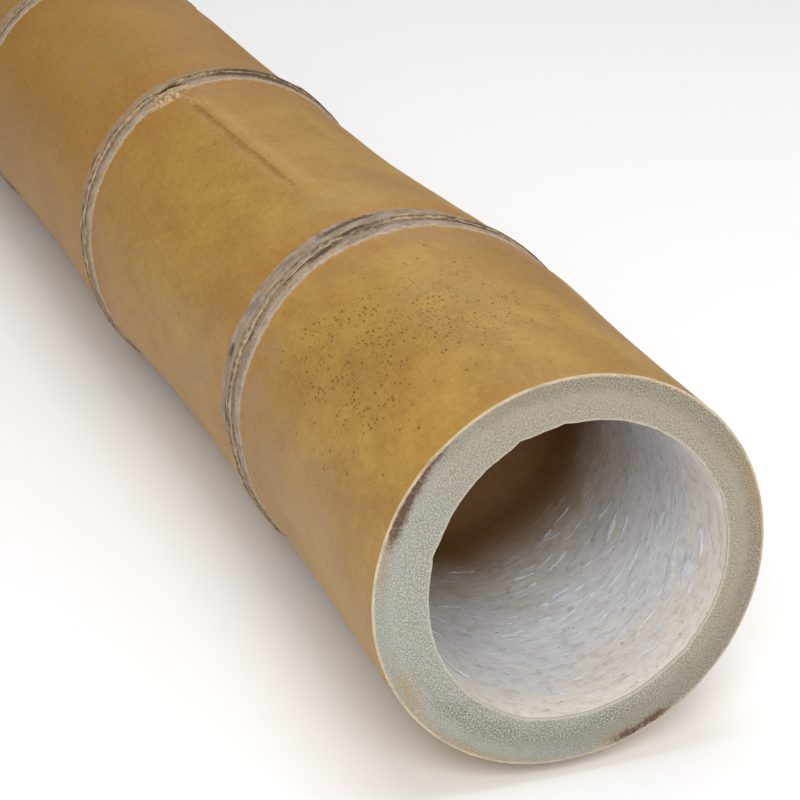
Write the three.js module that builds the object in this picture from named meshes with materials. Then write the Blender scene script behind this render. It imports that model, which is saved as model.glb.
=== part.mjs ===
// Bamboo pole: one sawn length of a thick, hollow culm. It lies along X, in millimetres, +Z up.
//
// A culm is a row of hollow internodes. They are divided at the growth nodes, where a ridge runs round
// the outside and a woody wall, the septum, closes the inside. Every septum has a hole bored through it
// by the long drill that lets preservative in, so the chambers are all open to the saw cuts.
// +X points to the upper end of the culm as it grew, and -X to its root.
import * as THREE from 'three';
import { mergeVertices } from 'three/addons/utils/BufferGeometryUtils.js';

// ---- driving dimensions ----
const poleLength = 1000;
const facesAround = 48;
const upperWall = 15.3;             // wall thickness at the upper saw cut
const lowerWall = 17;               // and at the lower one: a culm's wall thickens towards its root
const hollowOffset = { y: 2.4, z: 0.3 };   // the hollow isn't quite in the middle of the culm
const waist = 0.6;                  // how far an internode draws in half way between its nodes
const ridgeHalfWidth = 7;           // where the ridge has fallen to a third of its height
const leanReach = 45;               // how far along the culm a node's slant is felt
const septumThickness = 8;
const boreRadius = 8;               // the preservative hole through each septum
const restingFlatDepth = 0.8;       // worn off the two ridges that the pole lies on

// Places along the culm, from its upper saw cut down to its lower one. `down` is the distance from the
// upper cut, `radius` the outside radius beside the ridge, and `y` and `z` the sideways drift of the
// culm's middle. On a growth node, `ridge` is the ridge's height, and `leanY` and `leanZ` are how
// far the ridge moves along +X for each millimetre to +Y or up.
const upperCut = { down: 0, radius: 65, y: 0, z: 0 };
const growthNodes = [
  { down: 157, radius: 66.2, y: 6.8, z: -3.6, ridge: 1.5, leanY: 0.051, leanZ: -0.056 },
  { down: 369.5, radius: 65.2, y: 1.1, z: -2.3, ridge: 1.8, leanY: -0.111, leanZ: -0.157 },
  { down: 587, radius: 66, y: 0, z: 0, ridge: 1.5, leanY: 0.03, leanZ: 0.04 },
  { down: 809, radius: 66.4, y: -2.4, z: -3.4, ridge: 1.6, leanY: 0.04, leanZ: -0.09 },
];
const lowerCut = { down: poleLength, radius: 66.3, y: -1, z: -1.2 };
const places = [upperCut, ...growthNodes, lowerCut];

// ---- how the culm changes along its length ----

// The stretch between two places that holds a point, and how far the point is along it, from 0 to 1.
function stretchAt(down) {
  const last = places.length - 2;
  const found = places.findIndex((place, i) => i > 0 && down <= place.down) - 1;
  const index = THREE.MathUtils.clamp(found, 0, last);
  const from = places[index];
  const to = places[index + 1];
  return { index, fraction: (down - from.down) / (to.down - from.down) };
}

// The slope of one quantity at a place: that of the line between its neighbours.
function slopeAt(quantity, index) {
  const before = places[Math.max(index - 1, 0)];
  const after = places[Math.min(index + 1, places.length - 1)];
  return (after[quantity] - before[quantity]) / (after.down - before.down);
}

// A quantity of the places, such as their radius, on a smooth curve through them all.
function smoothly(quantity, down) {
  const { index, fraction: t } = stretchAt(down);
  const from = places[index];
  const to = places[index + 1];
  const span = to.down - from.down;
  const rise = t * t * (3 - 2 * t);
  const leave = t * (1 - t) * (1 - t) * span * slopeAt(quantity, index);
  const arrive = t * t * (t - 1) * span * slopeAt(quantity, index + 1);
  return from[quantity] * (1 - rise) + to[quantity] * rise + leave + arrive;
}

// The outside radius with no ridges: smooth through the places and drawn in between them.
function girthAt(down) {
  const { fraction } = stretchAt(down);
  return smoothly('radius', down) - waist * Math.sin(Math.PI * fraction) ** 2;
}

function ridgeAt(down) {
  const heights = growthNodes.map((node) => {
    const away = (down - node.down) / ridgeHalfWidth;
    return node.ridge * Math.exp(-away * away);
  });
  return heights.reduce((sum, height) => sum + height, 0);
}

function hollowRadiusAt(down) {
  return girthAt(down) - THREE.MathUtils.lerp(upperWall, lowerWall, down / poleLength);
}

// ---- the outline that is turned into the culm ----

// Where the outside needs points: close together across each ridge, and wide apart between ridges.
function outsideStations() {
  const acrossRidge = [-18, -8, -4, 0, 4, 8, 18];
  const alongInternode = [0.33, 0.67];
  const stations = [upperCut.down];
  places.slice(1).forEach((place, i) => {
    const from = places[i].down;
    alongInternode.forEach((part) => stations.push(THREE.MathUtils.lerp(from, place.down, part)));
    const steps = place === lowerCut ? [0] : acrossRidge;
    steps.forEach((step) => stations.push(place.down + step));
  });
  return stations;
}

// One face of a septum, from the wall of its chamber to the bored hole. The wall turns into the
// septum in a round fillet, and the septum bulges a little towards its middle.
function septumFace(node, side) {
  const fillet = 14;
  const bulge = 2;
  const half = septumThickness / 2;
  const wallRadius = hollowRadiusAt(node.down);
  const turns = [0, 0.33, 0.67, 1].map((part) => part * Math.PI / 2);
  const corner = turns.map((turn) => [
    wallRadius - fillet * (1 - Math.cos(turn)),
    node.down + side * (half + fillet * (1 - Math.sin(turn))),
  ]);
  return [...corner, [boreRadius, node.down + side * (half + bulge)]];
}

// The closed outline, as [radius, distance from the upper cut]: down the outside, across the lower
// saw cut and back up through every chamber and septum, then reversed so that the faces point out.
function culmOutline() {
  const outside = outsideStations().map((down) => [girthAt(down) + ridgeAt(down), down]);
  const inside = [[hollowRadiusAt(lowerCut.down), lowerCut.down]];
  [...growthNodes].reverse().forEach((node, i, upwards) => {
    const below = septumFace(node, 1);
    const above = septumFace(node, -1).reverse();
    inside.push(...below, ...above);
    const nextUp = upwards[i + 1] ?? upperCut;
    const middle = (node.down + nextUp.down) / 2;
    inside.push([hollowRadiusAt(middle), middle]);
  });
  inside.push([hollowRadiusAt(upperCut.down), upperCut.down]);
  return [...outside, ...inside, outside[0]].reverse();
}

// ---- what makes the turned shape a grown one ----

// How far a ridge's slant moves a point along +X. Nothing moves at the saw cuts.
function slantAt(down, y, z) {
  const shifts = growthNodes.map((node) => {
    const away = (down - node.down) / leanReach;
    return (node.leanY * y + node.leanZ * z) * Math.exp(-away * away);
  });
  const nearCut = Math.min(down, poleLength - down) / leanReach;
  return shifts.reduce((sum, shift) => sum + shift, 0) * THREE.MathUtils.smoothstep(nearCut, 0, 1);
}

// Moves a point of the turned shape to where the culm's drift, slant and off-centre hollow put it.
function grow(point) {
  const down = poleLength / 2 - point.x;
  const reach = Math.hypot(point.y, point.z);
  const isInside = reach < girthAt(down) - lowerWall / 2;
  const offset = isInside ? hollowOffset : { y: 0, z: 0 };
  const slant = isInside ? 0 : slantAt(down, point.y, point.z);
  point.x += slant;
  point.y += offset.y + smoothly('y', down);
  point.z += offset.z + smoothly('z', down);
}

// Wears the lowest ridges flat: no point is left under the level that the pole lies on.
function wearFlat(positions) {
  const heights = [];
  for (let i = 0; i < positions.count; i += 1) heights.push(positions.getZ(i));
  const flat = Math.min(...heights) + restingFlatDepth;
  heights.forEach((height, i) => positions.setZ(i, Math.max(height, flat)));
}

function culmGeometry() {
  const outline = culmOutline().map(([radius, down]) => new THREE.Vector2(radius, poleLength / 2 - down));
  const turned = new THREE.LatheGeometry(outline, facesAround);
  turned.deleteAttribute('normal');
  turned.deleteAttribute('uv');
  turned.rotateZ(-Math.PI / 2);
  const geometry = mergeVertices(turned);
  const positions = geometry.attributes.position;
  const point = new THREE.Vector3();
  for (let i = 0; i < positions.count; i += 1) {
    point.fromBufferAttribute(positions, i);
    grow(point);
    positions.setXYZ(i, point.x, point.y, point.z);
  }
  wearFlat(positions);
  geometry.computeBoundingBox();
  const { min, max } = geometry.boundingBox;
  geometry.translate(-(min.x + max.x) / 2, -(min.y + max.y) / 2, -min.z);
  geometry.computeVertexNormals();
  return geometry;
}

// ---- the part ----

const culm = new THREE.Mesh(
  culmGeometry(),
  new THREE.MeshStandardMaterial({ color: 0xac8450, roughness: 0.5, metalness: 0 }),
);
culm.name = 'bamboo_culm';

const pole = new THREE.Group();
pole.add(culm);

export default pole;
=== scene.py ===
import math
import random

import bpy
import numpy as np
from mathutils import Matrix, Vector, noise


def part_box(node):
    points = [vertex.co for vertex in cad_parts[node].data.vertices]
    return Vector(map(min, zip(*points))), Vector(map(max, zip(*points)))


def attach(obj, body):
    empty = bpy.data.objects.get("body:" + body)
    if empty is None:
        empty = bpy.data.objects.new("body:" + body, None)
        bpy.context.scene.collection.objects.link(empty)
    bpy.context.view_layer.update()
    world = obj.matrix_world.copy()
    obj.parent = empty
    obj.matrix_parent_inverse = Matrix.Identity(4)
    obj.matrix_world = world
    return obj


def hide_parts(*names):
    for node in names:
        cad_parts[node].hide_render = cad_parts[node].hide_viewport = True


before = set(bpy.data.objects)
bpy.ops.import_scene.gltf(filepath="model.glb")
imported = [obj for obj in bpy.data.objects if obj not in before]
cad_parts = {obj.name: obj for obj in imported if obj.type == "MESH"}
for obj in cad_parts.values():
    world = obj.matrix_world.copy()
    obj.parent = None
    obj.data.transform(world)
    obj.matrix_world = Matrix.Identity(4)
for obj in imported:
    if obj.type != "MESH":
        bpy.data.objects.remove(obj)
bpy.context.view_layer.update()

# ---- sizes ----

MM = 0.001
CAD_CULM = "bamboo_culm"
culm_low, culm_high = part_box(CAD_CULM)
LENGTH = (culm_high.x - culm_low.x) / MM
AROUND = 192
ANGLES = np.arange(AROUND) * 2 * math.pi / AROUND - math.pi / 2     # the first is underneath
# These are the CAD's, down to the bore.
RADIUS = 65.0                  # outside, at the upper saw cut
UPPER_WALL, LOWER_WALL = 15.3, 17.0
HOLLOW_OFFSET = (2.4, 0.3)     # of the hollow's middle, in y and z
WAIST = 0.6                    # how far an internode draws in
RIDGE_HALF_WIDTH = 7.0
LEAN_REACH = 45.0              # how far along a node's slant is felt
SEPTUM_HALF = 4.0
SEPTUM_FILLET = 14.0
SEPTUM_BULGE = 2.0
BORE_RADIUS = 8.0
RIM_ROUNDING = 0.4             # at the outer edge of a saw cut
MOUTH_ROUNDING = 0.3           # and at the hollow's edge
LINING_STEP = 3.4              # between the rings of an end chamber
HIDDEN_STEP = 40.0             # and of the chambers that nothing shows
LINING_DEPTH = 150.0           # how far in from a saw cut the lining goes on changing colour

# The same places as in the CAD: the upper saw cut, the four growth nodes and the lower saw cut.
PLACES = {
    "down": np.array([0, 157, 369.5, 587, 809, LENGTH]),
    "radius": np.array([RADIUS, 66.2, 65.2, 66, 66.4, 66.3]),
    "y": np.array([0, 6.8, 1.1, 0, -2.4, -1]),
    "z": np.array([0, -3.6, -2.3, 0, -3.4, -1.2]),
}
# Each node's ridge and slant are the CAD's. The scar of its bud sits just above the node line, on
# opposite sides from node to node, and a furrow runs up from beside it. Both are angles in degrees.
# `band` is how far the grey band reaches below the line, in mm.
NODE_FACTS = ("down", "ridge", "lean_y", "lean_z", "bud", "furrow", "band")
NODE_ROWS = [
    (157, 1.5, 0.051, -0.056, 292, 288, 13.5),
    (369.5, 1.8, -0.111, -0.157, 113, 107.5, 11),
    (587, 1.5, 0.03, 0.04, 284, 289, 12),
    (809, 1.6, 0.04, -0.09, 104, 99, 12),
]
NODES = [dict(zip(NODE_FACTS, row)) for row in NODE_ROWS]
BAND_ABOVE = 9.3               # how far the grey band reaches above the line


# ---- helpers ----

def bell(distance, width):
    """1 where distance is 0, falling smoothly to about a third at width."""
    return np.exp(-(distance / width) ** 2)


def step_between(low, high, value):
    """0 below low and 1 above high, smooth in between. With low above high it falls instead."""
    t = np.clip((value - low) / (high - low), 0, 1)
    return t * t * (3 - 2 * t)


def ripple(seed, *coordinates):
    """Smooth noise from about -1 to 1 at each point. The seed picks one of many patterns."""
    a, b, c = np.broadcast_arrays(*coordinates)
    values = [noise.noise(point) for point in zip(a.ravel() + 31.7 * seed, b.ravel(), c.ravel())]
    return np.array(values).reshape(a.shape)


def ripple_round(seed, angle, waves, along=0.0):
    """Noise that closes on itself round the culm, with about that many waves in a turn."""
    reach = waves / math.pi
    return ripple(seed, np.cos(angle) * reach, np.sin(angle) * reach, along)


def turn_from(angle, degrees):
    """How far an angle is round from a direction given in degrees, in radians from -pi to pi."""
    return (angle - math.radians(degrees) + math.pi) % (2 * math.pi) - math.pi


def add_object(name, data):
    """A new object in the scene."""
    made = bpy.data.objects.new(name, data)
    bpy.context.scene.collection.objects.link(made)
    return made


# ---- how the culm changes along its length, as in the CAD ----

def smoothly(quantity, down):
    """A quantity of the places, such as their radius, on a smooth curve through them all."""
    at, value = PLACES["down"], PLACES[quantity]
    last = len(at) - 1
    neighbours = [(max(i - 1, 0), min(i + 1, last)) for i in range(len(at))]
    slopes = np.array([(value[b] - value[a]) / (at[b] - at[a]) for a, b in neighbours])
    index = np.clip(np.searchsorted(at, down) - 1, 0, last - 1)
    span = at[index + 1] - at[index]
    t = (down - at[index]) / span
    rise = t * t * (3 - 2 * t)
    leave = t * (1 - t) ** 2 * span * slopes[index]
    arrive = t * t * (t - 1) * span * slopes[index + 1]
    return value[index] * (1 - rise) + value[index + 1] * rise + leave + arrive


def girth(down):
    """The outside radius with no ridges."""
    at = PLACES["down"]
    index = np.clip(np.searchsorted(at, down) - 1, 0, len(at) - 2)
    fraction = (down - at[index]) / (at[index + 1] - at[index])
    return smoothly("radius", down) - WAIST * np.sin(math.pi * fraction) ** 2


def hollow_radius(down):
    return girth(down) - (UPPER_WALL + (LOWER_WALL - UPPER_WALL) * down / LENGTH)


def slide(down, y, z):
    """How far a ridge's slant moves a point of the rind along +X. Nothing moves at the saw cuts."""
    shift = sum(
        (node["lean_y"] * y + node["lean_z"] * z) * bell(down - node["down"], LEAN_REACH)
        for node in NODES
    )
    return shift * step_between(0, 1, np.minimum(down, LENGTH - down) / LEAN_REACH)


# ---- the rind's relief ----

def node_line(node, down, angle):
    """Distance up the culm from a node's line, which wanders a little as it goes round."""
    seed = node["down"]
    wander = 0.8 * ripple_round(seed, angle, 9) + 0.35 * ripple_round(seed + 1, angle, 40)
    return node["down"] - down + wander


def nearest_line(down, angle):
    """The distance up from the nearest node's line, and how much of it is beyond that node's grey band."""
    lines = np.array([node_line(node, down, angle) for node in NODES])
    nearest = np.abs(lines).argmin(axis=0)
    line = np.take_along_axis(lines, nearest[None], axis=0)[0]
    reach = np.array([node["band"] for node in NODES])[nearest] + 1.5 * np.cos(angle - math.radians(125))
    return line, np.maximum(line - BAND_ABOVE, -line - reach)


def scar_relief(line):
    """A node's profile: the lip of its ridge and the grooves that the fallen sheath left above it."""
    lip = 0.6 * bell(line + 0.5, 0.9)
    grooves = 0.55 * bell(line - 1.4, 0.7) + 0.35 * bell(line - 3.6, 0.7) + 0.2 * bell(line + 2.6, 0.8)
    shoulders = 0.3 * bell(line + 6, 3) + 0.25 * bell(line - 6.5, 2.5)
    return lip + shoulders - grooves


def bud_shape(node, line, angle):
    """The bud's scar, 0 to 1, a ragged oval just above the node line."""
    across = turn_from(angle, node["bud"]) * RADIUS
    ragged = 1 + 0.3 * ripple_round(node["down"] + 2, angle, 60, line / 3)
    return np.clip(1.5 * bell((line - 8) * ragged, 5) * bell(across * ragged, 8.5) - 0.25, 0, 1)


def bud_gap(node, line, angle):
    """The gap between the bud's scar and the ridge, 0 to 1, sunk into the rind and painted dark as shade.
    """
    across = turn_from(angle, node["bud"] - 3) * RADIUS
    return bell(line - 1.3, 1.6) * bell(across, 9.5) ** 2


def furrow_shape(node, line, angle):
    """The furrow above a bud and the bank beside it, both from 0 to 1."""
    across = turn_from(angle, node["furrow"]) * RADIUS
    across = across + 0.9 * ripple(node["down"] + 3, line / 30, 0.5, 0.5)
    reach = step_between(16, 28, line) * step_between(205, 110, line)
    return bell(across, 2.2) * reach, bell(across + 4.5, 3.2) * reach


# Where the culm is a little fuller or leaner than round: down, angle in degrees, half length and half
# width in mm, and height in mm.
SWELLINGS = [
    (124, 43, 26, 42, 1.5), (88, 43, 30, 40, 0.5), (186, 43, 12, 36, 0.6), (285, 43, 60, 42, -1.3),
    (348, 43, 14, 36, -0.4), (390, 43, 14, 36, 0.6), (596, 43, 24, 42, -1.9), (92, 219, 34, 42, 0.75),
    (182, 219, 18, 40, 0.45), (262, 219, 34, 42, -0.5), (408, 219, 16, 40, 0.8), (545, 219, 34, 42, 0.8),
    (700, 300, 50, 50, 0.7), (780, 120, 40, 50, -0.6), (900, 200, 50, 50, 0.8), (940, 20, 40, 50, -0.5),
]


def oval(down, angle, at, towards, half_length, half_width):
    """A soft oval on the rind, 1 in its middle and 0 away from it."""
    across = turn_from(angle, towards) * RADIUS
    return bell(down - at, half_length) * bell(across, half_width)


def swelling(down, angle):
    return sum(height * oval(down, angle, *place) for *place, height in SWELLINGS)


def rind_relief(down, angle):
    """What stands out from the girth, in mm."""
    relief = scar_relief(nearest_line(down, angle)[0]) + swelling(down, angle)
    for node in NODES:
        relief = relief + node["ridge"] * bell(node["down"] - down, RIDGE_HALF_WIDTH)
        near = node_line(node, down, angle)
        relief = relief + 1.2 * bud_shape(node, near, angle) - 1.7 * bud_gap(node, near, angle)
        furrow, bank = furrow_shape(node, near, angle)
        relief = relief - 0.55 * furrow + 0.3 * bank
    relief = relief + 0.35 * ripple_round(3, angle, 6, down / 60)
    return relief + 0.10 * ripple_round(5, angle, 30, down / 25)


# ---- masks: where the rind, the cuts and the lining change colour ----

# Soft ovals on the rind, for each mask: down, angle in degrees, half length and half width in mm.
RIND_SPOTS = {
    "specks": [
        (90, 123, 24, 22), (68, 102, 26, 24), (108, 140, 16, 14), (60, 142, 26, 18),
        (90, 300, 40, 26), (690, 200, 46, 30), (905, 60, 50, 30),
    ],
    "fine_specks": [
        (80, 118, 44, 46), (250, 122, 60, 40), (300, 150, 40, 30), (440, 95, 34, 30), (520, 200, 40, 30),
        (255, 20, 40, 24), (480, 330, 50, 26), (690, 120, 46, 30), (720, 260, 40, 34), (900, 215, 40, 26),
    ],
    "haze": [
        (138, 150, 12, 40), (30, 186, 66, 14), (92, 100, 14, 14), (140, 84, 12, 30), (60, 172, 26, 12),
        (345, 168, 18, 30), (455, 124, 26, 20), (350, 99, 14, 6), (120, 182, 30, 16), (395, 60, 16, 20),
        (210, 176, 50, 16), (196, 110, 10, 30), (540, 40, 40, 26), (640, 150, 40, 30), (240, 300, 50, 30),
        (780, 330, 30, 34), (860, 100, 30, 24), (960, 250, 30, 34), (60, 260, 40, 30),
    ],
    "smudge": [
        (167, 111, 3, 7), (169, 101, 2.2, 6), (153, 119, 1.8, 7), (156, 107, 1.6, 8), (167, 161, 3.5, 3.5),
        (154, 152, 1.6, 3), (163, 180, 4, 6), (155, 66, 2.2, 26), (160, 44, 3, 12), (164, 235, 4, 14),
        (163, 300, 4, 16), (367, 84, 4, 14), (366, 68, 4, 14), (369, 50, 4, 14), (372, 103, 2.2, 6),
        (372, 133, 2.4, 4), (378, 150, 3, 5), (371, 166, 2, 3), (377, 196, 3, 12), (376, 280, 4, 16),
        (594, 70, 3, 14), (593, 160, 3, 12), (595, 250, 4, 16), (815, 110, 4, 12), (816, 210, 3, 14),
        (815, 320, 4, 14),
    ],
    "smear": [(353, 107, 3, 3), (346, 106, 4, 3.4), (339, 104, 3, 2.6), (797, 98, 5, 4)],
}


def ovals(spots, down, angle):
    """The sum of soft ovals at each point, at most 1."""
    return np.clip(sum(oval(down, angle, *spot) for spot in spots), 0, 1)


# Marks on the saw cuts, as angle, half width in degrees, depth from the rim and half depth in mm.
CUT_MARKS = {
    "upper": {
        "scorch": [
            (136, 7, 1.0, 1.2), (146, 8, 1.8, 1.8), (156, 7, 2.5, 2.2), (288, 5, 1.8, 1.9),
            (298, 6, 2.1, 1.9),
        ],
        "stain": [
            (208, 7, 4, 3), (238, 22, 1.5, 1.5), (20, 13, 2, 2), (165, 12, 2.2, 1.4), (285, 9, 3, 1.8),
        ],
        "grey": [
            (95, 34, 2.5, 3.5), (50, 26, 3, 4), (14, 24, 1.5, 4), (345, 22, 2, 4), (315, 22, 4, 5),
            (238, 26, 9.5, 4), (280, 20, 8, 5),
        ],
    },
    "lower": {
        "scorch": [(20, 8, 1.6, 1.3), (205, 7, 2.0, 1.4)],
        "stain": [(60, 20, 2, 2), (310, 16, 3, 2.4)],
        "grey": [(120, 34, 6, 5), (250, 26, 8, 5), (10, 20, 5, 5)],
    },
}
# Bites out of the hollow's edge at a saw cut, as angle, half width and depth in mm.
MOUTH_CHIPS = [
    (114, 2.4, 0.9), (164, 2.2, 0.7), (98, 1.8, 0.5), (21, 2.2, 0.6), (250, 3, 0.5), (318, 2, 0.5),
]
# Where the lining's roof turns brown first, as angle and share. The brown is partly its own colour and
# partly painted shade on the roof, which faces away from the light.
SHADED_BROWN_ROOF = [(88, 1), (138, 1), (186, 0.45)]


def marks(spots, depth, angle):
    """The sum of soft marks on a saw cut at each point, at most 1."""
    total = 0
    for towards, half_angle, at, half_depth in spots:
        turned = bell(turn_from(angle, towards), math.radians(half_angle))
        total = total + turned * bell(depth - at, half_depth)
    return np.clip(total, 0, 1)


# ---- points of the rind and of the hollow ----

def rind_at(down, angle, lift=0.0):
    """A point of the rind, or one lifted off it in mm, as down, y and z."""
    reach = girth(down) + rind_relief(down, angle)
    y, z = reach * np.cos(angle), reach * np.sin(angle)
    shift = slide(down, y, z)
    scale = 1 + lift / reach
    return down - shift, y * scale + smoothly("y", down), z * scale + smoothly("z", down)


def wall_bend(down, angle):
    """How the hollow strays from round near a saw cut, where the saw tore its edge, in mm."""
    inwards = np.minimum(down, LENGTH - down)
    torn = 0.12 * ripple_round(11, angle, 22) + 0.22 * ripple_round(12, angle, 70)
    chips = sum(
        size * bell(turn_from(angle, towards) * hollow_radius(down), width)
        for towards, width, size in MOUTH_CHIPS
    )
    bent = 0.35 * np.cos(3 * angle + 0.4)
    return (torn + chips) * step_between(4, 0, inwards) + bent * step_between(60, 0, inwards)


def wrinkles(down, angle):
    """The papery lining's wrinkles, most of which run round the hollow, in mm."""
    inwards = np.minimum(down, LENGTH - down)
    height = 0.16 * ripple_round(21, angle, 5, down / 2.3) + 0.3 * ripple_round(22, angle, 7, down / 17)
    return height * step_between(0, 5, inwards)


def hollow_at(down, angle, reach):
    """A point in the hollow at a distance from its middle, as down, y and z."""
    y = smoothly("y", down) + HOLLOW_OFFSET[0] + reach * np.cos(angle)
    z = smoothly("z", down) + HOLLOW_OFFSET[1] + reach * np.sin(angle)
    return down, y, z


# The middle of the upper saw cut, which everything is placed from.
cad_corners = np.array([corner.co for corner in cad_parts[CAD_CULM].data.vertices])
on_upper_cut = cad_corners[cad_corners[:, 0] > culm_high.x - 0.01 * MM]
cut_centre = (on_upper_cut.min(axis=0) + on_upper_cut.max(axis=0)) / 2


def in_frame(points):
    """From mm on the culm to the frame's metres. What the pole lies on has worn it flat."""
    placed = np.stack([-points[..., 0], points[..., 1], points[..., 2]], axis=-1) * MM + cut_centre
    placed[..., 2] = np.maximum(placed[..., 2], culm_low.z)
    return placed


# ---- rings of points ----

MASKS = (
    "line", "beyond", "bud", "gap", "furrow", "bank", *RIND_SPOTS,
    "depth", "left", *CUT_MARKS["upper"], "deep", "brown",
)
rings = []


def add_ring(surface, place, **masks):
    """One ring of points round the culm, with the masks that its surface uses."""
    place = [np.broadcast_to(part, ANGLES.shape) for part in place]
    values = {name: np.broadcast_to(masks.get(name, 0.0), ANGLES.shape) for name in MASKS}
    rings.append({"surface": surface, "points": np.stack(place, axis=-1), "masks": values})


def nick(down, angle):
    """A small splinter lost from the upper cut's outer edge, in mm."""
    return 1.1 * bell(turn_from(angle, 64) * RADIUS, 1.6) * step_between(2.5, 0, down)


def rind_stations():
    """Places for the rind's rings: close together across each node and wide apart between nodes."""
    finest, widest, flat_half = 0.6, 5.5, 5.0
    stations = [RIM_ROUNDING]
    while stations[-1] < LENGTH - RIM_ROUNDING - widest / 2:
        here = stations[-1]
        away = min(abs(here + widest / 4 - node["down"]) for node in NODES)
        ends = min(here, LENGTH - here)
        step = finest + 0.2 * max(away - flat_half, 0)
        stations.append(here + min(step, widest, 1.2 + 0.4 * ends))
    return [*stations, LENGTH - RIM_ROUNDING]


def add_rind():
    for down in rind_stations():
        lines = [node_line(node, down, ANGLES) for node in NODES]
        furrows = [furrow_shape(node, line, ANGLES) for node, line in zip(NODES, lines)]
        x, y, z = rind_at(down, ANGLES)
        kept = 1 - nick(down, ANGLES) / RADIUS
        line, beyond = nearest_line(down, ANGLES)
        add_ring(
            "rind", (x, y * kept, z * kept), line=line, beyond=beyond,
            bud=sum(bud_shape(node, line, ANGLES) for node, line in zip(NODES, lines)),
            gap=sum(bud_gap(node, line, ANGLES) for node, line in zip(NODES, lines)),
            furrow=sum(furrow for furrow, bank in furrows),
            bank=sum(bank for furrow, bank in furrows),
            **{name: ovals(spots, down, ANGLES) for name, spots in RIND_SPOTS.items()},
        )


def rounded_edge(radius, wall, turns):
    """A rounded edge at turns in degrees, as shares of the wall's thickness and insets in mm."""
    return [(radius * (1 - np.cos(t)) / wall, radius * (1 - np.sin(t))) for t in np.radians(turns)]


def add_cut(end):
    """The rings of one saw cut, from its outer edge to the hollow's edge."""
    down, inwards = (0.0, 1) if end == "upper" else (LENGTH, -1)
    rind_y, rind_z = rind_at(down, ANGLES)[1:]
    hollow_y, hollow_z = hollow_at(down, ANGLES, hollow_radius(down) + wall_bend(down, ANGLES))[1:]
    wall = np.hypot(rind_y - hollow_y, rind_z - hollow_z)
    rim = rounded_edge(RIM_ROUNDING, wall, (30, 60, 90))
    flat = [(share, 0.0) for share in np.linspace(0.07, 0.94, 11)]
    mouth = [(1 - share, inset) for share, inset in rounded_edge(MOUTH_ROUNDING, wall, (90, 50, 15))]
    for share, inset in [*rim, *flat, *mouth]:
        depth = share * wall
        lost = 0.6 * nick(down, ANGLES) * step_between(2.0, 0, depth)
        y = rind_y * (1 - share) + hollow_y * share
        z = rind_z * (1 - share) + hollow_z * share
        shades = {name: marks(spots, depth, ANGLES) for name, spots in CUT_MARKS[end].items()}
        place = (down + inwards * (inset + lost), y, z)
        add_ring(end + "_cut", place, depth=depth, left=wall - depth, **shades)


def add_lining_ring(down, radius, deep, wrinkled=1.0):
    """A ring of the hollow. It turns brown towards the septum, and first of all along its roof: partly the
    lining's own colour, partly painted shade.
    """
    reach = radius + wrinkled * wrinkles(down, ANGLES) + wall_bend(down, ANGLES)
    roof = np.clip(sum(share * bell(turn_from(ANGLES, at), 0.6) for at, share in SHADED_BROWN_ROOF), 0, 1)
    brown = np.clip(roof * step_between(-0.12, 0.2, deep) + step_between(0.55, 1.0, deep), 0, 1)
    add_ring("lining", hollow_at(down, ANGLES, reach), deep=deep, brown=brown)


def septum_face(node, side):
    """One face of a septum, from its chamber's wall to the bored hole, as (down, radius)."""
    wall_radius = hollow_radius(node["down"])
    corner = [
        (
            node["down"] + side * (SEPTUM_HALF + SEPTUM_FILLET * (1 - math.sin(turn))),
            wall_radius - SEPTUM_FILLET * (1 - math.cos(turn)),
        )
        for turn in np.linspace(0, math.pi / 2, 6)
    ]
    bulged = node["down"] + side * (SEPTUM_HALF + SEPTUM_BULGE)
    middle = (corner[-1][0] + bulged) / 2, (corner[-1][1] + BORE_RADIUS) / 2
    return [*corner, middle, (bulged, BORE_RADIUS)]


def chamber_stations(low, high, spacing):
    """Places from high to low in one chamber, leaving out both ends."""
    count = max(2, round((high - low) / spacing))
    return np.linspace(high, low, count + 1)[1:-1]


def add_lining():
    """The hollow from the lower saw cut up to the upper one, through every chamber and septum."""
    edge = 0.8
    add_lining_ring(LENGTH - edge, hollow_radius(LENGTH - edge), 0)
    bottom = LENGTH - edge
    for node in reversed(NODES):
        below, above = septum_face(node, 1), septum_face(node, -1)
        is_lowest = node is NODES[-1]
        for down in chamber_stations(below[0][0], bottom, LINING_STEP if is_lowest else HIDDEN_STEP):
            deep = (LENGTH - down) / LINING_DEPTH if is_lowest else 1
            add_lining_ring(down, hollow_radius(down), deep)
        for down, radius in [*below, *reversed(above)]:
            add_lining_ring(down, radius, 1, wrinkled=0.4)
        bottom = above[0][0]
    for down in [*chamber_stations(edge, bottom, LINING_STEP), edge]:
        add_lining_ring(down, hollow_radius(down), down / LINING_DEPTH)


# ---- the culm's mesh ----

# The unwrapped culm on a square map, as left, bottom, width and height. Every block runs along the
# culm across its width and round it up its height. The saw cuts get the finest share.
MAP_SIZE = 1024
MAP_BLOCKS = {
    "rind_upper": (2, 2, 698, 506),
    "rind_lower": (2, 514, 698, 506),
    "upper_cut": (706, 2, 50, 1018),
    "lower_cut": (762, 2, 50, 1018),
    "lining_upper": (818, 2, 202, 398),
    "lining_lower": (818, 406, 202, 398),
    "lining_middle": (818, 810, 202, 210),
}
MATERIAL_ORDER = ("rind", "cut", "lining")
QUAD_CORNERS = (np.arange(AROUND)[:, None] + np.array([0, 0, 1, 1]))[None]     # in steps round the culm


def block_of(first, second):
    """The part of the map for the faces between two neighbouring rings, and their material."""
    surfaces = (first["surface"], second["surface"])
    for end in ("upper_cut", "lower_cut"):
        if end in surfaces:
            return end, "cut"
    down = (first["points"][:, 0].mean() + second["points"][:, 0].mean()) / 2
    if surfaces[0] == "rind":
        return ("rind_upper" if down < LENGTH / 2 else "rind_lower"), "rind"
    top, bottom = NODES[0]["down"], NODES[-1]["down"]
    return "lining_" + ("upper" if down < top else "lower" if down > bottom else "middle"), "lining"


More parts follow.
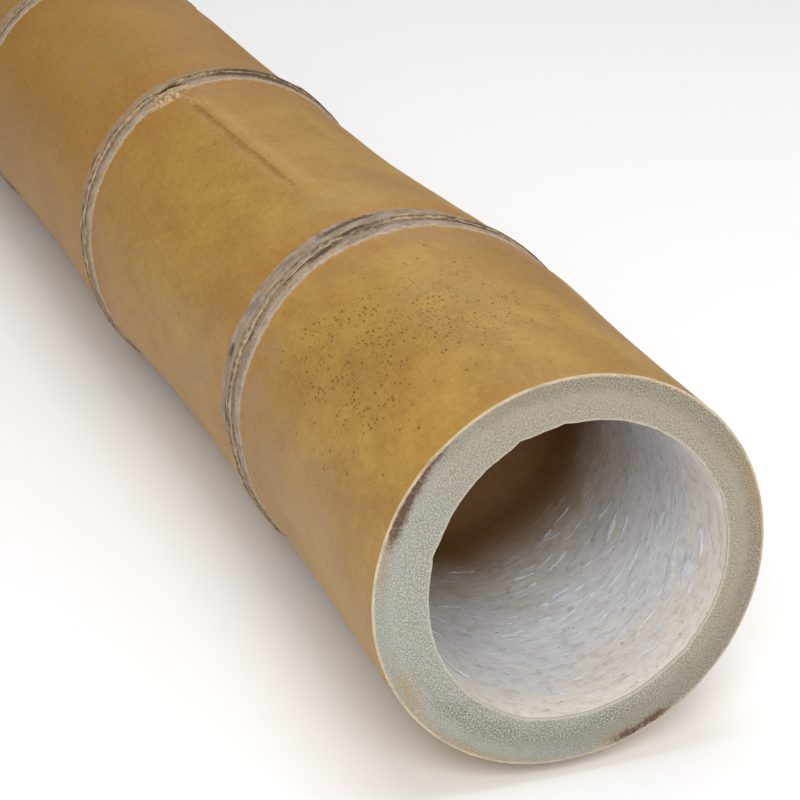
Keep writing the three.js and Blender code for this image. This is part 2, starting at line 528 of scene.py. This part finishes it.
def add_map(mesh, blocks, following):
    """The unwrapping: one island for each block, in the order of the mesh's quads."""
    travelled, spans = {}, []
    for block, first, second in zip(blocks, rings, following):
        start = travelled.get(block, 0.0)
        travelled[block] = start + np.linalg.norm(second["points"] - first["points"], axis=1).mean()
        spans.append((start, travelled[block]))
    across = np.array([(start, end, end, start) for start, end in spans])
    across /= np.array([travelled[block] for block in blocks])[:, None]
    places = np.array([MAP_BLOCKS[block] for block in blocks], float)
    left, bottom, width, height = places.T[:, :, None, None]
    up_map = bottom + height * (QUAD_CORNERS / AROUND)
    u, v = np.broadcast_arrays(left + width * across[:, None, :], up_map)
    unwrapped = np.stack([u, v], axis=-1) / MAP_SIZE
    mesh.uv_layers.new(name="OFBake").data.foreach_set("uv", unwrapped.astype(np.float32).ravel())


def add_spot(mesh, blocks, following):
    """`spot`, a flat place in mm for fine patterns: down and round the culm, or across a saw cut."""
    first = np.array([ring["points"] for ring in rings])
    second = np.array([ring["points"] for ring in following])
    corners = np.stack([first, second, np.roll(second, -1, axis=1), np.roll(first, -1, axis=1)], axis=2)
    turn = QUAD_CORNERS * 2 * math.pi / AROUND
    reach = np.array([RADIUS if "rind" in block else RADIUS - UPPER_WALL for block in blocks])
    spot = np.zeros(corners.shape)
    spot[..., 0] = corners[..., 0]
    spot[..., 1] = turn * reach[:, None, None]
    is_cut = np.array(["cut" in block for block in blocks])
    spot[is_cut, :, :, 0:2] = corners[is_cut, :, :, 1:3]
    layer = mesh.attributes.new("spot", "FLOAT_VECTOR", "CORNER")
    layer.data.foreach_set("vector", spot.astype(np.float32).ravel())


def culm_mesh():
    count = len(rings)
    points = in_frame(np.array([ring["points"] for ring in rings]))
    ring_start = np.arange(count)[:, None] * AROUND
    next_start = (np.arange(count)[:, None] + 1) % count * AROUND
    side = np.arange(AROUND)[None, :]
    next_side = (side + 1) % AROUND
    corners = (ring_start + side, next_start + side, next_start + next_side, ring_start + next_side)
    quads = np.stack(corners, axis=-1).reshape(-1, 4)
    mesh = bpy.data.meshes.new("culm")
    mesh.from_pydata(points.reshape(-1, 3).tolist(), [], quads.tolist())
    following = rings[1:] + rings[:1]
    chosen = [block_of(first, second) for first, second in zip(rings, following)]
    blocks = [block for block, material in chosen]
    slots = np.repeat([MATERIAL_ORDER.index(material) for block, material in chosen], AROUND)
    mesh.polygons.foreach_set("material_index", slots.astype(np.int32))
    mesh.polygons.foreach_set("use_smooth", np.ones(len(quads), bool))
    for name in MASKS:
        values = np.concatenate([ring["masks"][name] for ring in rings])
        mesh.attributes.new(name, "FLOAT", "POINT").data.foreach_set("value", values.astype(np.float32))
    add_spot(mesh, blocks, following)
    add_map(mesh, blocks, following)
    return mesh


# ---- torn fibres at the nodes, and loose flakes of the lining ----

def join_parts(name, parts, material, smooth):
    """One object from many small closed meshes, each given as its points and faces."""
    points, faces = [], []
    for part_points, part_faces in parts:
        faces += [[corner + len(points) for corner in face] for face in part_faces]
        points += in_frame(np.array(part_points)).tolist()
    mesh = bpy.data.meshes.new(name)
    mesh.from_pydata(points, [], faces)
    mesh.polygons.foreach_set("use_smooth", np.full(len(faces), smooth))
    mesh.materials.append(material)
    piece = add_object(name, mesh)
    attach(piece, "root")


def fibre(down, towards, length, width, slant, stand):
    """A spindle that lies along the rind: its points and faces. Its far end stands off the rind."""
    stations = 6
    points, faces = [], []
    for station in range(stations + 1):
        t = station / stations
        along = (t - 0.5) * length
        here_down = down + along * math.sin(slant)
        here_angle = math.radians(towards) + along * math.cos(slant) / RADIUS
        half = width / 2 * math.sqrt(max(1 - (2 * t - 1) ** 2, 0.02))
        for corner in range(4):
            turn = corner * math.pi / 2
            side, lift = half * math.cos(turn), half * math.sin(turn) + 0.1 + stand * t ** 2
            across_down = here_down - side * math.cos(slant)
            across_angle = here_angle + side * math.sin(slant) / RADIUS
            points.append([float(value) for value in rind_at(across_down, np.array(across_angle), lift)])
    for station in range(stations):
        for corner in range(4):
            first, second = station * 4 + corner, station * 4 + (corner + 1) % 4
            faces.append([first, second, second + 4, first + 4])
    last = stations * 4
    return points, [*faces, [3, 2, 1, 0], [last, last + 1, last + 2, last + 3]]


def torn_fibres():
    """Fibres of the fallen sheaths that still cling along each node line, and a tuft on each bud."""
    on_each_line, on_each_bud = 44, 34
    draw = random.Random(7)
    parts = []
    for node in NODES:
        for count in range(on_each_line):
            towards = draw.uniform(0, 360)
            down = node["down"] + draw.choice([-3.0, -2.2, 0.4, 0.8]) + draw.uniform(-0.5, 0.5)
            length, width = draw.uniform(3, 12), draw.uniform(0.3, 0.6)
            parts.append(fibre(down, towards, length, width, draw.uniform(-0.1, 0.1), 0.2))
        for count in range(on_each_bud):
            towards = node["bud"] + draw.uniform(-7.5, 6)
            down = node["down"] - 8 + draw.uniform(-3.0, 2.5)
            length, width, slant = draw.uniform(2.5, 5), draw.uniform(0.8, 1.5), draw.uniform(-2.0, -1.1)
            parts.append(fibre(down, towards, length, width, slant, draw.uniform(-0.1, 0.15)))
    join_parts("node_fibres", parts, fibre_material(), smooth=True)


# The larger loose flakes of lining: distance in from the saw cut, angle in degrees, length and width.
FLAKES = [
    (22, 343, 12, 4.6), (30, 334, 9, 3.4), (38, 324, 11, 3.8), (45, 318, 6, 2.6), (68, 296, 12, 2.8),
    (35, 299, 8, 2.0), (52, 312, 8, 2.2), (17, 354, 7, 2.6), (75, 330, 9, 2.4), (58, 270, 9, 1.6),
    (47, 349, 7, 2.2), (24, 255, 6, 1.2), (66, 240, 7, 1.2), (30, 8, 8, 1.6), (88, 305, 8, 1.8),
]


def flake(down, towards, length, width, seed):
    """A ragged scrap of lining that lies along the wall: its points and faces."""
    around, thickness, inner_share = 28, 0.1, 0.5
    middle = math.radians(towards)

    def on_wall(down, angle, lift):
        wall = hollow_radius(down) + wrinkles(np.array(down), np.array(angle))
        return hollow_at(down, angle, wall - lift)

    sides = []
    for layer in (0.0, thickness):
        points = [on_wall(down, middle, 0.25 + layer)]
        for share in (inner_share, 1.0):
            for turn in np.arange(around) * 2 * math.pi / around:
                lobes = noise.noise((1.6 * math.cos(turn) + seed, 1.6 * math.sin(turn), 0.5))
                teeth = noise.noise((6 * math.cos(turn), 6 * math.sin(turn), seed))
                ragged = share * (1 + 0.7 * lobes + (0.6 * teeth if share == 1 else 0))
                across = 0.5 * length * math.cos(turn) * ragged
                along = 0.5 * width * math.sin(turn) * ragged
                along += 0.35 * across * math.sin(seed) + 0.8 * lobes * math.sin(2 * turn)
                lift = 0.2 + 0.1 * (1 - share) + 0.2 * share * max(teeth, 0)
                turned = across / hollow_radius(down)
                points.append(on_wall(down + along, middle + turned, lift + layer))
        sides += [[float(value) for value in point] for point in points]
    faces = []
    size = 1 + 2 * around
    for step in range(around):
        following = (step + 1) % around
        inner, inner_next = 1 + step, 1 + following
        outer, outer_next = inner + around, inner_next + around
        top = [[0, inner, inner_next], [inner, outer, outer_next, inner_next]]
        faces += top + [[size + corner for corner in reversed(face)] for face in top]
        faces.append([outer, size + outer, size + outer_next, outer_next])
    return sides, faces


def lining_flakes():
    """Loose flakes in both end chambers: the larger ones and many small shreds between them."""
    shreds = 54
    draw = random.Random(11)
    flakes = list(FLAKES)
    for count in range(shreds):
        inwards, towards = draw.uniform(12, 110), draw.gauss(308, 40)
        flakes.append((inwards, towards, draw.uniform(3, 8), draw.uniform(0.4, 0.8)))
    parts = []
    for seed, (inwards, towards, length, width) in enumerate(flakes):
        parts.append(flake(inwards, towards, length, width, seed))
        parts.append(flake(LENGTH - inwards, towards, length, width, seed + len(flakes)))
    join_parts("lining_flakes", parts, flake_material(), smooth=False)


# ---- material helpers ----

def paint(red, green, blue):
    """A colour as it looks on a screen, 0 to 255, as the linear colour that shaders take."""
    def linear(value):
        value /= 255
        return value / 12.92 if value <= 0.04045 else ((value + 0.055) / 1.055) ** 2.4
    return (linear(red), linear(green), linear(blue), 1.0)


class Shader:
    """A short way to write one material's nodes: each call adds a node and gives its output."""

    def __init__(self, name):
        self.material = bpy.data.materials.new(name)
        self.material.use_nodes = True
        self.tree = self.material.node_tree
        self.surface = self.tree.nodes["Principled BSDF"]

    def put(self, socket, value):
        if isinstance(value, bpy.types.NodeSocket):
            self.tree.links.new(value, socket)
        else:
            socket.default_value = value

    def add(self, kind, values, **settings):
        node = self.tree.nodes.new("ShaderNode" + kind)
        for name, setting in settings.items():
            setattr(node, name, setting)
        for name, value in values.items():
            self.put(node.inputs[name], value)
        return node

    def mask(self, name):
        return self.add("Attribute", {}, attribute_name=name).outputs["Fac"]

    def scaled(self, vector, scale):
        return self.add("VectorMath", {0: vector, 1: scale}, operation="MULTIPLY").outputs[0]

    def solid(self, along=1.0):
        """The point in space in mm. With a smaller `along`, patterns are drawn out along the culm."""
        return self.scaled(self.add("TexCoord", {}).outputs["Object"], (along / MM, 1 / MM, 1 / MM))

    def flat(self, along=1.0, around=1.0):
        """The point's `spot` in mm. A smaller number draws patterns out along or round the culm."""
        spot = self.add("Attribute", {}, attribute_name="spot").outputs["Vector"]
        return self.scaled(spot, (along, around, 1))

    def down(self):
        """The distance down the culm in mm, on the rind."""
        return self.add("SeparateXYZ", {0: self.flat()}).outputs[0]

    def noise(self, place, size, detail=2.0, roughness=0.5, twist=0.0):
        """Noise from 0 to 1 with lumps of about that size in mm."""
        values = {
            "Vector": place, "Scale": 1 / size, "Detail": detail, "Roughness": roughness,
            "Distortion": twist,
        }
        return self.add("TexNoise", values).outputs["Fac"]

    def cells(self, place, size):
        """Flat cells of about that size: the distance from each one's middle, and two random numbers."""
        node = self.add("TexVoronoi", {"Vector": place, "Scale": 1 / size}, voronoi_dimensions="2D")
        own = self.add("SeparateColor", {"Color": node.outputs["Color"]})
        return node.outputs["Distance"], own.outputs["Red"], own.outputs["Green"]

    def math(self, operation, first, second=0.0, third=0.0):
        return self.add("Math", {0: first, 1: second, 2: third}, operation=operation).outputs[0]

    def plus(self, first, second):
        return self.math("ADD", first, second)

    def scale_add(self, value, scale, offset):
        return self.math("MULTIPLY_ADD", value, scale, offset)

    def times(self, *values):
        product = values[0]
        for value in values[1:]:
            product = self.math("MULTIPLY", product, value)
        return product

    def rise(self, value, low, high, bottom=0.0, top=1.0):
        """Smooth from bottom at low to top at high."""
        values = {"Value": value, "From Min": low, "From Max": high, "To Min": bottom, "To Max": top}
        return self.add("MapRange", values, interpolation_type="SMOOTHSTEP").outputs["Result"]

    def peak(self, value, middle, width):
        """1 where value is the middle and 0 from width away."""
        away = self.math("ABSOLUTE", self.math("SUBTRACT", value, middle))
        return self.rise(away, width, 0.0)

    def mix(self, amount, under, over):
        """Two colours mixed: the first where amount is 0 and the second where it is 1."""
        return self.add("Mix", {0: amount, 6: under, 7: over}, data_type="RGBA").outputs[2]

    def blend(self, amount, under, over):
        """The same for plain numbers."""
        return self.add("Mix", {0: amount, 2: under, 3: over}, data_type="FLOAT").outputs[0]

    def finish(self, colour, roughness, height, depth, ior=1.45):
        """The colour, the roughness and a bump whose height from 0 to 1 stands for that depth in mm."""
        bump = self.add("Bump", {"Strength": 1.0, "Distance": depth * MM, "Height": height})
        self.put(self.surface.inputs["Base Color"], colour)
        self.put(self.surface.inputs["Roughness"], roughness)
        self.put(self.surface.inputs["IOR"], ior)
        self.put(self.surface.inputs["Normal"], bump.outputs[0])
        return self.material


# ---- the rind ----

def golden_rind(s, beyond):
    """The rind between nodes: gold mottled with brown, warmer beside the nodes, pink-grey haze that is
    partly a painted reflection of the floor, and painted shade and highlight at the furrows.
    """
    clouds = s.noise(s.solid(along=0.5), 34, detail=3, roughness=0.55, twist=0.6)
    mottle = s.noise(s.solid(along=0.7), 8, detail=4, roughness=0.6)
    flecks = s.noise(s.flat(along=0.7), 2.6, detail=4, roughness=0.6)
    grain = s.noise(s.flat(along=0.6), 0.8, detail=3)
    colour = s.mix(s.rise(clouds, 0.3, 0.68), paint(155, 115, 54), paint(174, 136, 63))
    colour = s.mix(s.rise(mottle, 0.42, 0.72, top=0.35), colour, paint(144, 102, 44))
    beside = s.rise(beyond, 26, 3)
    colour = s.mix(s.times(beside, s.rise(mottle, 0.2, 0.7, top=0.6)), colour, paint(160, 111, 50))
    colour = s.mix(s.rise(s.down(), 170, 470, top=0.6), colour, paint(153, 106, 34))
    colour = s.mix(s.rise(flecks, 0.5, 0.72, top=0.25), colour, paint(134, 92, 36))
    colour = s.mix(s.rise(flecks, 0.48, 0.3, top=0.2), colour, paint(196, 158, 84))
    colour = s.mix(s.rise(grain, 0.48, 0.75, top=0.22), colour, paint(126, 86, 34))
    colour = s.mix(s.rise(grain, 0.45, 0.25, top=0.18), colour, paint(204, 168, 92))
    # Pink-grey haze: partly the rind's own bloom near the nodes, partly a painted reflection of the floor
    # along the side at about 180 degrees.
    haze_and_reflection = s.times(s.mask("haze"), s.rise(s.noise(s.solid(along=0.6), 14, detail=4), 0.3, 0.62))
    colour = s.mix(s.times(haze_and_reflection, 0.5), colour, paint(158, 127, 86))
    # Painted shade along the bottom of each furrow.
    furrow = s.times(s.rise(s.mask("furrow"), 0.45, 0.95), s.rise(flecks, 0.3, 0.55, bottom=0.3))
    colour = s.mix(s.times(furrow, 0.75), colour, paint(118, 78, 24))
    # Pink smears, which are the rind's own colour, and a painted highlight on each furrow's bank.
    smeared = s.times(s.rise(s.mask("smear"), 0.2, 0.9), s.rise(flecks, 0.62, 0.4, top=0.55))
    pale = s.math("MAXIMUM", s.times(s.mask("bank"), 0.3), smeared)
    return s.mix(pale, colour, paint(196, 160, 108))


def speck_layer(s, size, least, most, share):
    """Specks in one cell in so many. They are drawn out along the culm; the radii are in cells."""
    distance, chance, width = s.cells(s.flat(along=0.6), size)
    radius = s.scale_add(s.times(width, width), most - least, least)
    return s.times(s.rise(s.math("DIVIDE", distance, radius), 1.3, 0.5), s.math("LESS_THAN", chance, share))


def rind_specks(s, beyond):
    """Dark specks, crowded where the masks say: coarse ones in places and fine, fainter ones all over."""
    uneven = s.rise(s.noise(s.solid(), 12, detail=3), 0.32, 0.56, bottom=0.15)
    coarse = speck_layer(s, 1.6, 0.1, 0.37, s.scale_add(s.times(s.mask("specks"), uneven), 0.7, 0.006))
    fine = speck_layer(s, 1.1, 0.1, 0.27, s.scale_add(s.times(s.mask("fine_specks"), uneven), 0.7, 0.06))
    total = s.math("MAXIMUM", s.times(coarse, 0.85), s.times(fine, 0.6))
    return s.times(total, s.rise(beyond, 3, 9))


def node_band(s, line, beyond):
    """The waxy grey band round a node: how far it covers the rind, and its colour."""
    ragged = s.scale_add(s.noise(s.flat(along=0.8), 2.4, detail=4, roughness=0.6), 4.4, -2.2)
    soft = s.scale_add(s.noise(s.flat(around=0.5), 6, detail=4), 6.0, -3.0)
    wander = s.blend(s.rise(line, -2.0, 2.0), soft, ragged)
    cover = s.rise(s.plus(beyond, wander), 0.7, -0.5)
    lumps = s.noise(s.flat(around=0.7), 4.5, detail=5, roughness=0.6)
    warmth = s.noise(s.solid(), 9, detail=3)
    crinkles = s.noise(s.flat(around=0.7), 0.9, detail=4, roughness=0.7)
    streaks = s.noise(s.flat(along=1.5, around=0.35), 1.3, detail=4, roughness=0.65)
    colour = s.mix(s.rise(lumps, 0.36, 0.62), paint(136, 117, 98), paint(164, 149, 133))
    tan = s.times(s.rise(s.down(), 200, 360), s.rise(line, 2, -2, bottom=0.15, top=0.7))
    colour = s.mix(tan, colour, paint(162, 132, 92))
    colour = s.mix(s.rise(warmth, 0.45, 0.65, top=0.5), colour, paint(168, 142, 106))
    colour = s.mix(s.rise(crinkles, 0.5, 0.72, top=0.55), colour, paint(102, 85, 66))
    colour = s.mix(s.rise(crinkles, 0.46, 0.28, top=0.5), colour, paint(192, 180, 163))
    colour = s.mix(s.rise(streaks, 0.5, 0.72, top=0.4), colour, paint(106, 89, 68))
    core = s.times(s.peak(line, 1.2, 5.0), s.rise(lumps, 0.3, 0.6, bottom=0.4))
    colour = s.mix(s.times(core, 0.55), colour, paint(110, 91, 70))
    edge = s.times(s.rise(s.plus(beyond, wander), -2.2, -0.6), s.rise(line, 0, 4))
    colour = s.mix(s.times(edge, 0.4), colour, paint(194, 180, 160))
    smudge = s.plus(s.mask("smudge"), s.scale_add(crinkles, 1.4, -0.75))
    return cover, s.mix(s.rise(smudge, 0.2, 0.75, top=0.85), colour, paint(80, 66, 48))


def node_lines(s, line, cover, colour):
    """The cream lips and the dark grooves that follow a node's line, drawn over a colour."""
    waver = s.scale_add(s.noise(s.flat(along=0.2, around=0.5), 2.2, detail=3), 2.2, -1.1)
    fine = s.plus(line, waver)
    torn = s.noise(s.flat(along=0.5, around=0.5), 1.2, detail=4, roughness=0.65)
    worn = s.noise(s.solid(), 12, detail=3)
    for middle, width, strength in ((-1.1, 0.9, 0.8), (0.9, 0.6, 0.6), (-4.2, 0.7, 0.3)):
        kept = s.times(s.rise(torn, 0.4, 0.58, bottom=0.1), s.rise(worn, 0.34, 0.56, bottom=0.25))
        cream = s.times(s.peak(fine, middle, width), kept, cover)
        colour = s.mix(s.times(cream, strength), colour, paint(200, 178, 138))
    for middle, width, strength in ((0.0, 0.7, 0.8), (2.8, 0.9, 0.85), (4.4, 0.7, 0.4), (-2.6, 0.7, 0.5)):
        kept = s.times(s.rise(torn, 0.58, 0.44), s.rise(worn, 0.66, 0.46, bottom=0.25))
        dark = s.times(s.peak(fine, middle, width), kept, cover)
        colour = s.mix(s.times(dark, strength), colour, paint(62, 50, 36))
    return colour


def bud_scar(s, colour):
    """The torn bud, cream and fibrous, and painted shade in the gap behind it, drawn over a colour."""
    fibres = s.noise(s.flat(along=0.35), 0.9, detail=4, roughness=0.7)
    torn = s.mix(s.rise(fibres, 0.36, 0.6), paint(150, 122, 86), paint(196, 168, 128))
    colour = s.mix(s.rise(s.mask("bud"), 0.06, 0.3), colour, torn)
    # Painted shade in the gap between the bud's scar and the ridge.
    dark = s.rise(s.plus(s.mask("gap"), s.times(fibres, 0.5)), 0.55, 0.85)
    return s.mix(s.times(dark, 0.95), colour, paint(50, 36, 22))


def rind_material():
    s = Shader("bamboo_rind")
    line, beyond = s.mask("line"), s.mask("beyond")
    specks = rind_specks(s, beyond)
    colour = s.mix(specks, golden_rind(s, beyond), paint(106, 68, 12))
    cover, band = node_band(s, line, beyond)
    colour = bud_scar(s, node_lines(s, line, cover, s.mix(cover, colour, band)))
    grain = s.noise(s.flat(along=0.12), 1.2, detail=3)
    rough_band = s.noise(s.flat(around=0.4), 1.2, detail=4, roughness=0.65)
    height = s.blend(cover, grain, s.times(rough_band, 3.0))
    roughness = s.rise(cover, 0.0, 1.0, bottom=0.5, top=0.9)
    return s.finish(colour, roughness, height, 0.1, ior=1.3)


def fibre_material():
    s = Shader("torn_fibre")
    shade = s.noise(s.solid(), 3, detail=3)
    colour = s.mix(s.rise(shade, 0.36, 0.62), paint(150, 122, 86), paint(192, 165, 126))
    return s.finish(colour, 0.85, s.noise(s.solid(), 0.5, detail=2), 0.08)


# ---- the saw cuts ----

def bundle_ends(s, size):
    """The cut ends of the fibre bundles: 1 in the middle of each and 0 between them."""
    return s.rise(s.cells(s.flat(), size)[0], 0.45, 0.14)


def sawn_wood(s, depth):
    """The wood's colour and bumps. Its bundle ends get a painted highlight, stronger towards -Y and -Z, but
    they are pitted and dark towards the rim on the +Y side."""
    patches = s.noise(s.flat(), 6, detail=5, roughness=0.65)
    fuzz = s.noise(s.flat(), 0.7, detail=4, roughness=0.7)
    bundles = s.blend(s.rise(depth, 3.0, 9.0), bundle_ends(s, 0.5), bundle_ends(s, 0.7))
    grey = s.rise(s.plus(s.mask("grey"), s.scale_add(patches, 2.0, -1.0)), 0.0, 0.95)
    y, z = s.add("SeparateXYZ", {0: s.flat()}).outputs[0:2]
    side = s.rise(s.plus(y, z), -60, 40)
    plain = s.mix(side, paint(153, 158, 152), paint(158, 148, 129))
    colour = s.mix(s.rise(patches, 0.35, 0.65, top=0.35), plain, paint(168, 162, 149))
    colour = s.mix(s.times(grey, 0.4), colour, paint(130, 123, 106))
    pitted = s.times(s.rise(depth, 10.0, 4.0), s.rise(y, -40, 0))
    plump = s.math("SUBTRACT", 1.0, pitted)
    between = s.times(s.math("SUBTRACT", 1.0, bundles), plump, s.scale_add(grey, 0.25, 0.35))
    colour = s.mix(between, colour, paint(98, 89, 72))
    # Painted highlight on the bundle ends, stronger towards -Y and -Z.
    bundle_highlight = s.scale_add(side, -0.18, 0.44)
    colour = s.mix(s.times(bundles, plump, bundle_highlight), colour, paint(206, 202, 188))
    pits = s.times(bundles, pitted, s.scale_add(grey, 0.55, 0.36))
    colour = s.mix(pits, colour, paint(84, 76, 60))
    colour = s.mix(s.rise(fuzz, 0.5, 0.7, top=0.35), colour, paint(190, 184, 168))
    colour = s.mix(s.rise(fuzz, 0.48, 0.28, top=0.5), colour, paint(92, 84, 68))
    return colour, s.plus(bundles, fuzz)


def cut_material():
    s = Shader("bamboo_saw_cut")
    depth = s.mask("depth")
    colour, bumps = sawn_wood(s, depth)
    edge = s.noise(s.flat(), 1.3, detail=4, roughness=0.6)
    stain = s.times(s.mask("stain"), s.rise(edge, 0.3, 0.62))
    colour = s.mix(s.times(stain, 0.75), colour, paint(158, 130, 86))
    scorch = s.rise(s.plus(s.mask("scorch"), s.scale_add(edge, 1.4, -0.7)), 0.1, 1.05)
    colour = s.mix(s.times(scorch, 0.9), colour, paint(80, 48, 24))
    rim = s.rise(s.plus(depth, s.scale_add(edge, 0.9, -0.45)), 1.1, 0.5)
    kept = s.rise(s.noise(s.flat(), 9, detail=3), 0.34, 0.58, bottom=0.4, top=0.8)
    colour = s.mix(s.times(rim, kept), colour, paint(204, 182, 154))
    mouth = s.rise(s.plus(s.mask("left"), s.scale_add(edge, 1.8, -0.9)), 1.1, 0.2)
    colour = s.mix(s.times(mouth, 0.45), colour, paint(204, 196, 178))
    return s.finish(colour, 0.88, bumps, 0.12)


# ---- the lining ----

def lining_material():
    s = Shader("bamboo_lining")
    clouds = s.scale_add(s.noise(s.solid(), 18, detail=4), 0.5, -0.25)
    deep = s.plus(s.mask("deep"), clouds)
    brown = s.plus(s.mask("brown"), clouds)
    colour = s.mix(s.rise(deep, 0.02, 0.3), paint(234, 227, 217), paint(222, 224, 228))
    colour = s.mix(s.rise(deep, 0.35, 0.85), colour, paint(200, 188, 172))
    # Brown towards the septum and along the roof: partly the lining's own colour, partly painted shade.
    colour = s.mix(s.rise(brown, 0.05, 0.85), colour, paint(144, 106, 62))
    shade = s.noise(s.flat(around=0.7), 4, detail=6, roughness=0.65)
    colour = s.mix(s.rise(shade, 0.54, 0.34, top=0.26), colour, paint(146, 134, 121))
    blots = s.rise(s.noise(s.flat(), 7, detail=5, roughness=0.65), 0.6, 0.7)
    colour = s.mix(s.times(blots, 0.3), colour, paint(98, 84, 70))
    threads = s.noise(s.flat(around=0.12), 0.9, detail=4, roughness=0.65, twist=0.8)
    patches = s.rise(s.noise(s.flat(), 10, detail=3), 0.4, 0.6, bottom=0.1)
    white = s.times(s.rise(threads, 0.53, 0.62), patches, s.rise(brown, 0.7, 0.1))
    colour = s.mix(s.times(white, 0.75), colour, paint(236, 240, 247))
    distance, chance, width = s.cells(s.flat(around=0.8), 3.2)
    radius = s.scale_add(s.times(width, width), 0.13, 0.03)
    speck = s.times(s.rise(s.math("DIVIDE", distance, radius), 1.4, 0.4), s.math("LESS_THAN", chance, 0.14))
    colour = s.mix(s.times(speck, 0.55), colour, paint(92, 74, 54))
    return s.finish(colour, 0.75, s.plus(threads, s.times(shade, 2.0)), 0.2)


def flake_material():
    s = Shader("lining_flake")
    shade = s.noise(s.solid(), 4, detail=3)
    colour = s.mix(s.rise(shade, 0.36, 0.64), paint(202, 206, 213), paint(224, 228, 236))
    return s.finish(colour, 0.75, s.noise(s.solid(along=3), 1.2, detail=3), 0.1, ior=1.3)


# ---- the culm ----

def make_culm():
    add_rind()
    add_cut("lower")
    add_lining()
    below_cut = len(rings)
    add_cut("upper")
    rings[below_cut:] = reversed(rings[below_cut:])
    culm = add_object("culm", culm_mesh())
    for material in (rind_material(), cut_material(), lining_material()):
        culm.data.materials.append(material)
    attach(culm, "root")
    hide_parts(CAD_CULM)


# ---- floor, light and camera ----

def make_floor():
    s = Shader("pale_floor")
    s.put(s.surface.inputs["Base Color"], paint(250, 250, 250))
    s.put(s.surface.inputs["Roughness"], 0.9)
    half = 12 * LENGTH * MM
    mesh = bpy.data.meshes.new("floor")
    corners = [(-half, -half), (half, -half), (half, half), (-half, half)]
    mesh.from_pydata([(x, y, culm_low.z) for x, y in corners], [], [(0, 1, 2, 3)])
    mesh.materials.append(s.material)
    floor = add_object("floor", mesh)


def add_lamp(name, direction, power):
    """A soft square lamp that looks at the pole's upper part from a direction."""
    distance, size = 30 * RADIUS * MM, 17 * RADIUS * MM
    lamp = add_object(name, bpy.data.lights.new(name, "AREA"))
    lamp.data.energy = power
    lamp.data.size = size
    towards = Vector(direction).normalized()
    aim = Vector(cut_centre) - Vector((3 * RADIUS * MM, 0, 0))
    lamp.location = aim + towards * distance
    lamp.rotation_euler = towards.to_track_quat("Z", "Y").to_euler()


def make_light():
    world = bpy.data.worlds.new("studio")
    world.use_nodes = True
    world.node_tree.nodes["Background"].inputs["Color"].default_value = (1, 1, 1, 1)
    world.node_tree.nodes["Background"].inputs["Strength"].default_value = 0.34
    bpy.context.scene.world = world
    add_lamp("overhead", (0, 0, 1), 12)
    add_lamp("front", (0.865, -0.324, 0.6), 29)
    add_lamp("right", (0.35, 0.94, 0.5), 6)
    add_lamp("far_end", (-0.865, 0.324, 0.8), 5)
    bpy.context.scene.view_settings.view_transform = "Standard"


def make_camera():
    """The photograph's view: a long lens, level, looking down along the pole at its upper saw cut."""
    pitch, heading = math.radians(22.51), math.radians(159.46)
    level = Vector((math.cos(heading), math.sin(heading), 0))
    forward = level * math.cos(pitch) - Vector((0, 0, math.sin(pitch)))
    right = level.cross(Vector((0, 0, 1)))
    up = right.cross(forward)
    cut_right, cut_below, cut_ahead = 0.8098, 0.8146, 10.717     # where it sees the cut's middle, in radii
    offset = right * cut_right - up * cut_below + forward * cut_ahead
    camera = add_object("camera", bpy.data.cameras.new("camera"))
    camera.data.lens = 103.5
    axes = Matrix((right, up, -forward)).transposed()
    camera.matrix_world = Matrix.Translation(Vector(cut_centre) - offset * RADIUS * MM) @ axes.to_4x4()
    bpy.context.scene.camera = camera


make_camera()
make_culm()
torn_fibres()
lining_flakes()
make_floor()
make_light()
